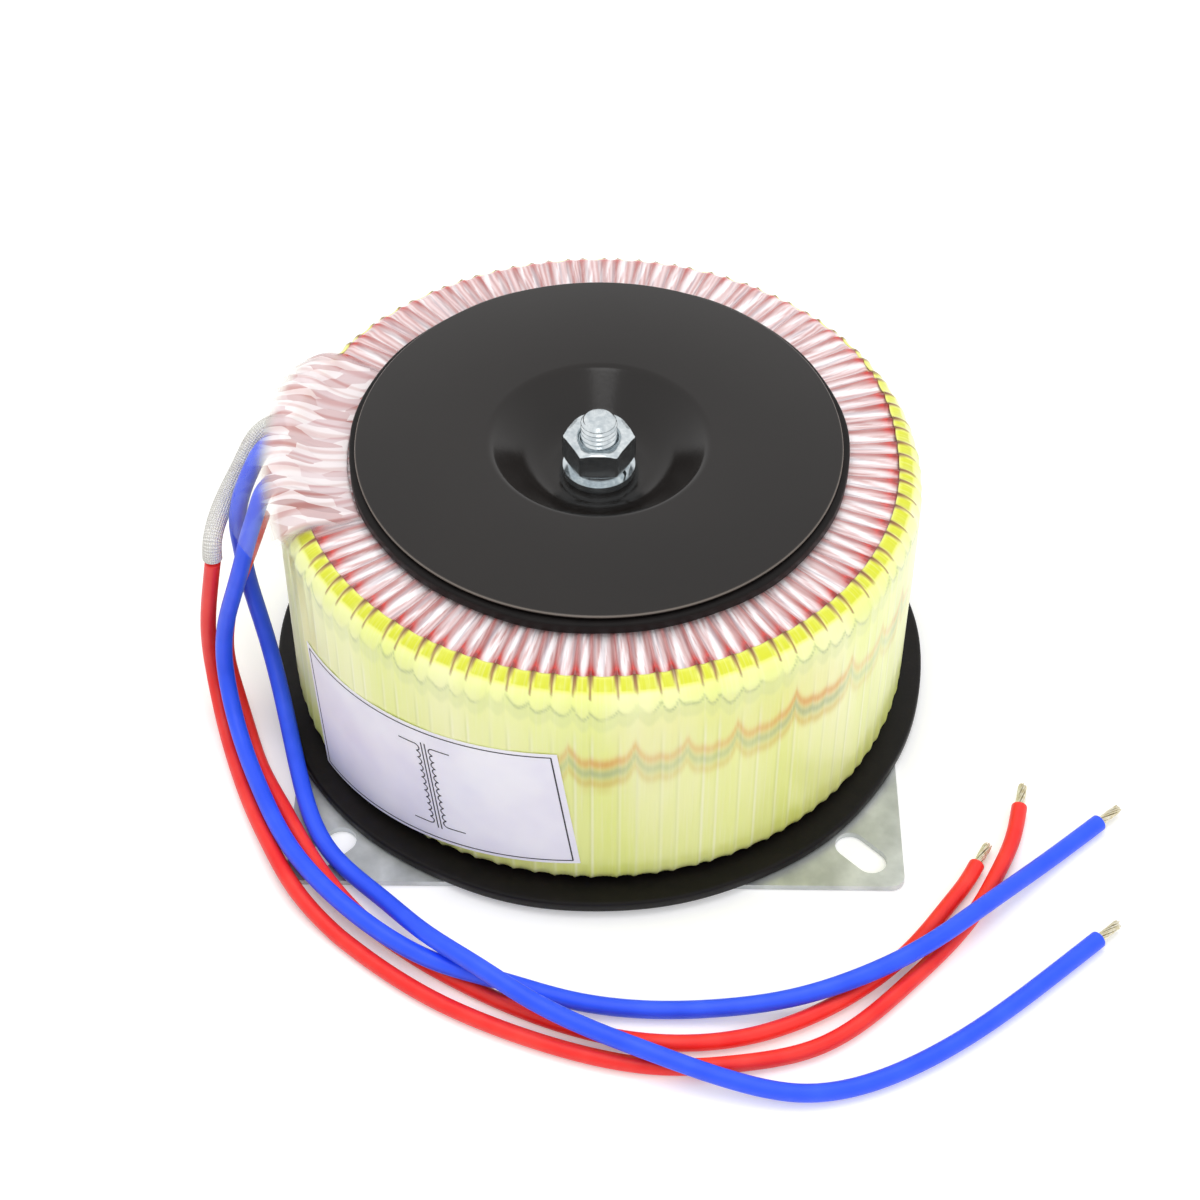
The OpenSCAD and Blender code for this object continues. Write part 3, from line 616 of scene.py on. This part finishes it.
# Polyester tape with a yellow adhesive: thin, glossy, a little cloudy from its creases.
tape, tree, shader = material("yellow_polyester_tape", "EAF09A", 0.3, IOR=1.57,
                              Coat_Weight=0.35, Coat_Roughness=0.15)
base = painted(tree)
fine = spots(tree, 1.0, 2.0, source="UV", stretch=(0.05, 1.4, 1))
pale = mixed(tree, ramp(tree, fine, (0.5, "000000"), (0.8, "FFFFFF")), base, srgb("F6F8C4"))
link(tree, mixed(tree, 0.3, base, pale), shader, "Base Color")
bump(tree, shader, spots(tree, 1.0, 2.0, source="UV", stretch=(0.06, 1.3, 1), seed=4.0), 0.08)
line_all = np.r_[line, line[pick], line[pick][-1] - 1]
tape_piece = surface("edge_tape_band", grid, wrap=(True, True),
                     uv=(line_all, np.linspace(0, GIRTH, TAPE_COLUMNS + 1)), paint=paint)
finish_piece(tape_piece, tape, ["edge_tape"])

# ---------------------------------------------------------------- label

LABEL_R, LABEL_Z, LABEL_TURN, LABEL_TILT = 71.49, 26.8, -122.6, 6.6
LABEL_W, LABEL_H = 68.0, 36.0
STROKE_STEPS = 80


def on_label(flat):
    """Label millimetres (right, up, off) to space: tilted, then wrapped on the wall."""
    a = math.radians(LABEL_TILT)
    y = flat[..., 0] * math.cos(a) - flat[..., 1] * math.sin(a)
    zz = flat[..., 0] * math.sin(a) + flat[..., 1] * math.cos(a) + LABEL_Z
    angle = math.radians(LABEL_TURN) + np.arcsin(y / LABEL_R)
    rr = LABEL_R + flat[..., 2]
    return np.stack([rr * np.cos(angle), rr * np.sin(angle), zz], -1)


def stroke(points, width):
    """A printed line: a flat ribbon of one width along points on the label."""
    p = np.array(points, float)
    s = along(p)
    t = np.linspace(0, s[-1], STROKE_STEPS)
    p = np.stack([np.interp(t, s, p[:, k]) for k in range(2)], 1)
    d = np.gradient(p, axis=0)
    d /= np.linalg.norm(d, axis=1)[:, None]
    side = np.stack([-d[:, 1], d[:, 0]], 1) * width / 2
    ring = np.stack([p - side, p + side, p + side, p - side], 1)
    lift = np.broadcast_to(np.array([0.0, 0.0, 0.03, 0.03]), ring.shape[:2])
    flat = np.concatenate([ring, lift[..., None]], -1)
    centre = np.concatenate([p, np.full((STROKE_STEPS, 1), 0.015)], 1)
    return on_label(np.concatenate([np.repeat(centre[:1, None], 4, 1), flat,
                                    np.repeat(centre[-1:, None], 4, 1)]))


def humps(x, y0, y1, count, out):
    """A plain winding symbol: half circles stacked along a line."""
    step = (y1 - y0) / count
    angles = [math.pi * k / 5 for k in range(6)]
    return [(x + out * abs(step) / 2 * math.sin(a), y0 + step * (n + (1 - math.cos(a)) / 2))
            for n in range(count) for a in angles]


edge_x, edge_y = LABEL_W / 2 - 1.2, LABEL_H / 2 - 1.0
SYMBOL_X = 4.0
strokes = [
    [(-edge_x, edge_y), (edge_x, edge_y)], [(-edge_x, -edge_y), (edge_x, -edge_y)],
    [(edge_x, -edge_y), (edge_x, edge_y)], [(-edge_x, -edge_y), (-edge_x, edge_y)],
    humps(SYMBOL_X - 2.2, -12.5, 12.5, 12, 1), humps(SYMBOL_X + 2.2, -12.5, 12.5, 12, -1),
    [(SYMBOL_X - 0.45, -13.5), (SYMBOL_X - 0.45, 13.5)],
    [(SYMBOL_X + 0.45, -13.5), (SYMBOL_X + 0.45, 13.5)],
    [(SYMBOL_X - 2.2, 12.5), (SYMBOL_X - 6.5, 12.5)],
    [(SYMBOL_X - 2.2, -12.5), (SYMBOL_X - 6.5, -12.5)],
    [(SYMBOL_X + 2.2, 12.5), (SYMBOL_X + 6.5, 12.5)],
    [(SYMBOL_X + 2.2, -12.5), (SYMBOL_X + 6.5, -12.5)]]
ink, tree, shader = material("label_ink", "26242A", 0.5)
link(tree, span(tree, spots(tree, 0.6), 0.4, 0.6), shader, "Roughness")
print_lines = surface("label_lines", np.stack([stroke(s, 0.28) for s in strokes]) * MM)
finish_piece(print_lines, ink)

# Label film: clear matt polyester, a faint lilac white.
label_film, tree, shader = material("matt_polyester_label", "ECE9F3", 0.35, IOR=1.55)
link(tree, ramp(tree, spots(tree, 14.0), (0.35, "F0EEF6"), (0.7, "FAF9FB")), shader, "Base Color")
bump(tree, shader, spots(tree, 5.0), 0.05)

# ---------------------------------------------------------------- clamp plates and pads


def dish_line(hole, floor_r, lip_r, rim_r, z_floor, z_rim, steps=60):
    """Upper line of a dished sheet: level floor, straight wall, level rim. The wall runs
    out of the floor on a wide parabola and into the lip on a tight one."""
    t = np.linspace(0, 1, steps)
    low, top = 0.42, 0.13                       # shares of the wall that are rounded
    slope = 1 / (1 - (low + top) / 2)
    rise = np.where(t < low, slope * t * t / (2 * low), slope * (t - low / 2))
    rise = np.where(t > 1 - top, 1 - slope * (1 - t) ** 2 / (2 * top), rise)
    wall_line = np.stack([floor_r + (lip_r - floor_r) * t, z_floor + (z_rim - z_floor) * rise], 1)
    return np.concatenate([[[hole, z_floor]], wall_line, [[rim_r, z_rim]]])


def sheet_outline(upper, thick, edge):
    """Closed outline of a pressed sheet under its upper line, its rim rolled by edge."""
    d = np.gradient(upper, axis=0)
    d /= np.linalg.norm(d, axis=1)[:, None]
    lower = upper - thick * np.stack([-d[:, 1], d[:, 0]], 1)
    a = np.linspace(90, -90, 9)
    rim = upper[-1] + [-edge, -thick / 2]
    roll = np.stack([rim[0] + edge * np.cos(np.radians(a)),
                     rim[1] + thick / 2 * np.sin(np.radians(a))], 1)
    return np.concatenate([upper[:-1], roll, lower[:-1][::-1]])


COVER_TOP, COVER_T, COVER_R = 71.6, 1.2, 53.4
# Black stoved enamel on pressed steel: smooth, with faint dust and a soft orange peel.
enamel, tree, shader = material("black_stoved_enamel", "14110F", 0.2, IOR=1.46)
base = painted(tree)
cloudy = ramp(tree, spots(tree, 40.0), (0.3, "D8D2CC"), (0.75, "FFFAF6"))
link(tree, mixed(tree, 1.0, base, cloudy, blend_type="MULTIPLY"), shader, "Base Color")
link(tree, span(tree, spots(tree, 6.0, 4.0), 0.14, 0.26), shader, "Roughness")
bump(tree, shader, spots(tree, 0.9, 2.0), 0.012)
outline = sheet_outline(dish_line(4.25, 11, 25, COVER_R, 62.4, COVER_TOP), COVER_T, 0.45)
# painted highlight: a pale line on the rim's upper edge, where the rolled edge would catch the
# light
painted_rim_highlight = 0.45 * np.exp(-((outline[:, 0] - COVER_R + 0.12) / 0.12) ** 2)
painted_rim_highlight = painted_rim_highlight * (outline[:, 1] > COVER_TOP - 0.45)
cover = lathe("cover_plate_pressed", outline, 256, paint=blend_colors(
    np.tile(linear("171311"), (len(outline), 1)), linear("B4ACA4"), painted_rim_highlight))
finish_piece(cover, enamel, ["cover_plate"])

# Black rubber sheet, cut by a die: matt faces, and a cut edge with a slight shine.
rubber, tree, shader = material("black_rubber_sheet", "0C0908", 0.5, IOR=1.52,
                               Specular_IOR_Level=0.2)
link(tree, ramp(tree, spots(tree, 3.0, 4.0), (0.3, "080606"), (0.8, "120E0D")),
     shader, "Base Color")
link(tree, span(tree, spots(tree, 1.5), 0.35, 0.6), shader, "Roughness")
bump(tree, shader, spots(tree, 0.8, 3.0), 0.04)


def die_cut(p, turn):
    """Slight waves of a cut rubber edge."""
    return (0.12 * np.sin(7 * turn + 1) + 0.1 * np.sin(13 * turn))[None, :] * (p[:, :1] > 40)


bottom = lathe("bottom_pad_sheet", rounded_profile(
    [(25.5, 1.5), (76.3, 1.5), (76.3, 4.5), (25.5, 4.5)], 0.9), 256, wave=die_cut)
finish_piece(bottom, rubber, ["bottom_pad"])
top = lathe("top_pad_sheet", rounded_profile(
    [(25.5, 67.5), (54.8, 67.5), (54.8, 70.4), (25.5, 70.4)], 0.7), 256, wave=die_cut)
finish_piece(top, rubber, ["top_pad"])

# Zinc plated steel sheet: satin grey with the cloudy bloom of the plating bath.
zinc_plate, tree, shader = material("zinc_plated_sheet", "C2C7BA", 0.38, 0.55)
cloud = spots(tree, 7.0, 5.0)
link(tree, ramp(tree, cloud, (0.3, "B0B4B2"), (0.55, "C6CAC8"), (0.75, "DCDFDE")),
     shader, "Base Color")
link(tree, span(tree, spots(tree, 2.5, 4.0), 0.28, 0.5), shader, "Roughness")
bump(tree, shader, spots(tree, 0.5, 3.0), 0.02)

# Bright zinc on turned and rolled fasteners.
zinc_bright, tree, shader = material("bright_zinc_fastener", "D5DCE0", 0.2, 1.0)
link(tree, ramp(tree, spots(tree, 1.5), (0.3, "C2CBD0"), (0.7, "E4EAEC")), shader, "Base Color")
link(tree, span(tree, spots(tree, 0.7, 3.0), 0.14, 0.3), shader, "Roughness")
bump(tree, shader, spots(tree, 0.4, 3.0), 0.015)

# ---------------------------------------------------------------- bolt and nut

PITCH, STUD_R, FLAT = 1.25, 4.0, 7.0
SIDES = 96
around = np.linspace(0, 2 * np.pi, SIDES, endpoint=False)
hexagon = FLAT / np.cos(around % (np.pi / 3) - np.pi / 6)


def hex_row(z, low, high, turned=0.9):
    """Radius of a hexagonal prism cut by the two 30 degree cones of its turned corners."""
    cone = FLAT / math.cos(math.pi / 6) - turned + np.minimum(z - low, high - z) * 1.73
    return np.minimum(hexagon, cone)


# The bolt: hexagonal head under the boss, plain shank, then a thread whose depth at a
# height z and a turn angle a follows a triangle wave of z / pitch - a / 360.
z_head = np.linspace(2.0, 7.3, 12)
head = [hex_row(zz, 2.0, 12.0) for zz in z_head]
z_thread = np.linspace(58.0, 77.3, 160)
phase = (z_thread[:, None] / PITCH - around / (2 * np.pi)) % 1.0
groove = 0.62 * np.clip(1.25 * np.abs(2 * phase - 1) - 0.12, 0, 1)
tip = np.minimum(STUD_R, STUD_R - 0.9 + (77.3 - z_thread) * 1.1)[:, None]
thread = np.minimum(STUD_R - groove * smoothstep(z_thread, 58, 60)[:, None], tip)
pole, shank = np.zeros(SIDES), np.full(SIDES, STUD_R)
radii = np.concatenate([[pole], head, [shank] * 2, thread, [pole]])
heights = np.r_[2.0, z_head, 7.3, 57.9, z_thread, 77.3]
grid = np.stack([radii * np.cos(around), radii * np.sin(around),
                 np.repeat(heights[:, None], SIDES, 1)], -1) * MM
bolt = surface("bolt_threaded", grid, uv=(heights, np.linspace(0, 25, SIDES + 1)))
finish_piece(bolt, zinc_bright, ["centre_bolt"])

rows_z = np.linspace(66.0, 72.5, 40)
outside = [hex_row(zz, 66.0, 72.5) for zz in rows_z]
bore, mouth = np.full(SIDES, 4.15), np.full(SIDES, 4.9)
radii = np.concatenate([[bore], outside, [mouth], [bore]])
heights = np.r_[66.0, rows_z, 72.5, 71.8]
grid = np.stack([radii * np.cos(around), radii * np.sin(around),
                 np.repeat(heights[:, None], SIDES, 1)], -1) * MM
nut = surface("hex_nut_chamfered", grid, wrap=(True, True))
finish_piece(nut, zinc_bright, ["hex_nut"])

# ---------------------------------------------------------------- clear film over the exit

PATCH_START, PATCH_END = 152.0, 204.0
shoulder_rho = CREST + TAPE_T + 0.1
arc = np.radians(np.array([90, 62, 40, 20, 0]))
flat_path = np.array([(55.2, 67.8), (62, 67.9)] + [
    (BEND_R + shoulder_rho * math.cos(a), BEND_Z1 + shoulder_rho * math.sin(a)) for a in arc[1:]]
    + [(BEND_R + shoulder_rho, BEND_Z1 - 3)])
raised_path = np.array([(55.2, 67.8), (63.5, 68.7), (68.5, 70.7), (73.5, 70.1),
                        (78.4, 67.1), (81.8, 63.1), (83.4, 59.5)])
w = np.linspace(0, 1, 240)[:, None, None]
lift = np.clip(np.sin(np.pi * w), 0, 1) ** 0.4
k = np.linspace(0, 6, 60)


def fine_path(p):
    """A smooth line through the path's points, sampled evenly."""
    line = smooth_path(np.insert(p, 1, 0, axis=1), 0.1)[:, [0, 2]]
    return line[np.linspace(0, len(line) - 1, len(k)).astype(int)]


upper = fine_path(flat_path) * (1 - lift) + fine_path(raised_path) * lift
share = w[..., 0]
turn = np.radians(PATCH_START + (PATCH_END - PATCH_START) * share)
# Folds fan out from the plate: slanting waves of uneven width, deepest in the middle.
skew = share * 11 + 0.5 * np.sin(share * 23 + 0.5 * k) + 0.10 * k * np.sin(share * 9 + 1)
saw = np.sin(2 * np.pi * skew)
crease = 0.3 * np.sin(np.pi * k / 6) * lift[..., 0] * saw
rr, zz = upper[..., 0] + 0.6 * crease, upper[..., 1] + 0.8 * crease
sheet = np.stack([rr * np.cos(turn), rr * np.sin(turn), zz], -1)
under = np.stack([(rr - 0.1) * np.cos(turn), (rr - 0.1) * np.sin(turn), zz - 0.1], -1)
# Over the ring the film lies in many layers and shows the rosy wire below; over the leads
# there is one clear layer with a faint green cast.
ripple = 0.5 + 0.5 * np.sin(2 * np.pi * (share * 15 + 0.25 * np.sin(share * 31 + k * 0.25)))
tint = blend_colors(linear("DCC6C8"), linear("B4655C"), smoothstep(ripple, 0.55, 1.0) * 0.85)
tint = blend_colors(tint, linear("EEF7E8"), smoothstep(rr, 71.0, 75.0))
fade = smoothstep(share, 0, 0.05) * smoothstep(1 - share, 0, 0.05)
cover_up = (0.9 - 0.82 * smoothstep(rr, 71.0, 75.5)) * fade + 0.03


def closed_loop(over, below):
    """Rows that run along the upper face and back along the lower, with closed end rows."""
    middle = (over + below) / 2
    pairs = [(middle[:1], middle[:1]), (over, below), (middle[-1:], middle[-1:])]
    return np.concatenate([np.concatenate([a, b[:, ::-1]], 1) for a, b in pairs])


patch = surface("exit_film", closed_loop(sheet, under) * MM, wrap=(False, True),
                paint=closed_loop(tint, tint), gloss=closed_loop(cover_up, 0.02 + 0 * cover_up))
# Clear polyester film in several layers, seen by its gloss, its folds and its haze.
clear, tree, shader = material("clear_polyester_film", "EEF3DC", 0.14, IOR=1.5)
# crumpled facets, as painted highlights and shade: each cell of a stretched Voronoi pattern gets
# its own shade, white to rose-brown
place = add(tree, "Mapping", {0: add(tree, "TexCoord").outputs["Object"], "Rotation": (0, 0, 0.25),
                              "Scale": (0.3, 1.0, 0.5)})
facet = add(tree, "TexVoronoi", {"Vector": place.outputs[0], "Scale": 480.0}, feature="F1")
tone = ramp(tree, add(tree, "SeparateColor", {0: facet.outputs["Color"]}).outputs[0],
            (0.0, "9A6A66"), (0.25, "C49A97"), (0.5, "DCCACE"), (0.7, "FFFFFF"))
base = painted(tree)
link(tree, mixed(tree, 0.5, base, tone), shader, "Base Color")
link(tree, painted(tree, "gloss", "Fac"), shader, "Alpha")
bump(tree, shader, facet.outputs["Distance"], 0.5)
finish_piece(patch, clear, ["exit_patch"])

# ---------------------------------------------------------------- inner layers


def layered(name, dark_hex, pale_hex, roughness, metallic, pitch_mm, axis):
    """A wound layer: fine bands pitch_mm apart across one axis of the object."""
    made, tree, shader = material(name, pale_hex, roughness, metallic)
    place = add(tree, "TexCoord").outputs["Object"]
    wave_node = add(tree, "TexWave", {"Vector": place, "Scale": 1000 * math.pi / 10 / pitch_mm,
                                      "Distortion": 0.4}, wave_type=axis[0], **{axis[1]: axis[2]})
    link(tree, ramp(tree, wave_node.outputs["Fac"], (0.1, dark_hex), (0.8, pale_hex)),
         shader, "Base Color")
    bump(tree, shader, wave_node.outputs["Fac"], 0.1)
    return made


RINGS = ("RINGS", "rings_direction", "Z")
BANDS = ("BANDS", "bands_direction", "X")
node_finish = {
    "mounting_plate": zinc_plate, "label": label_film, "flat_washer": zinc_bright,
    "spring_washer": zinc_bright,
    # grain-oriented strip, 0.3 mm thick, wound like a clock spring
    "core": layered("wound_steel_strip", "5B6066", "9BA1A6", 0.35, 0.9, 0.6, RINGS),
    "core_wrap": layered("cream_crepe_tape", "D8CFB2", "EFE8D2", 0.8, 0.0, 4.0, BANDS),
    "primary_winding": layered("enamelled_primary_wire", "6E3416", "B5622C", 0.3, 0.4, 1.0, RINGS),
    "winding_insulation": layered("polyester_interlayer", "CFC27E", "EADFA6", 0.4, 0.0, 6.0, BANDS),
    "secondary_winding": layered("enamelled_secondary_wire", "8E1B10", "D8432A", 0.3, 0.3, 2.2,
                                 RINGS)}
for name, made in node_finish.items():
    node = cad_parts[name]
    node.data.materials.clear()
    node.data.materials.append(made)

# ---------------------------------------------------------------- floor, world and lamps

WHITE = (1, 1, 1, 1)


def seen_directly(tree):
    """1 for camera, glossy and transmission rays, else 0."""
    ray = add(tree, "LightPath").outputs
    seen = add(tree, "Math", {0: ray["Is Camera Ray"], 1: ray["Is Glossy Ray"]},
               operation="MAXIMUM").outputs[0]
    return add(tree, "Math", {0: seen, 1: ray["Is Transmission Ray"]},
               operation="MAXIMUM").outputs[0]


floor_mesh = bpy.data.meshes.new("floor")
floor_mesh.from_pydata([(-3, -3, -0.0002), (3, -3, -0.0002), (3, 3, -0.0002), (-3, 3, -0.0002)],
                       [], [(0, 1, 2, 3)])
floor = bpy.data.objects.new("floor", floor_mesh)
bpy.context.scene.collection.objects.link(floor)
paper, tree, shader = material("white_paper_sweep", "F2F2F2", 0.9, Specular_IOR_Level=0.0)
shader.inputs["Emission Color"].default_value = WHITE
link(tree, span(tree, seen_directly(tree), 0.0, 0.22), shader, "Emission Strength")
floor_mesh.materials.append(paper)

world = bpy.data.worlds.new("studio")
bpy.context.scene.world = world
world.use_nodes = True
tree = world.node_tree
background = tree.nodes["Background"]
background.inputs["Color"].default_value = WHITE
link(tree, span(tree, seen_directly(tree), 0.6, 1.0), background, "Strength")


def softbox(name, place, size, power, mirrored=False):
    """A square lamp aimed at the middle of the ring."""
    data = bpy.data.lights.new(name, "AREA")
    data.energy, data.size = power, size
    lamp = bpy.data.objects.new(name, data)
    lamp.location = place
    lamp.visible_glossy = mirrored
    lamp.rotation_euler = (Vector((0, 0, 0.03)) - lamp.location).to_track_quat("-Z", "Y").to_euler()
    bpy.context.scene.collection.objects.link(lamp)


softbox("overhead_softbox", (-0.1, 0.15, 1.1), 0.9, 7.0)
softbox("front_softbox", (0.7, -0.9, 0.9), 0.7, 5.0)
softbox("near_softbox", (-0.05, -0.45, 0.95), 0.3, 0.5, mirrored=True)

bpy.context.scene.view_settings.view_transform = "Standard"
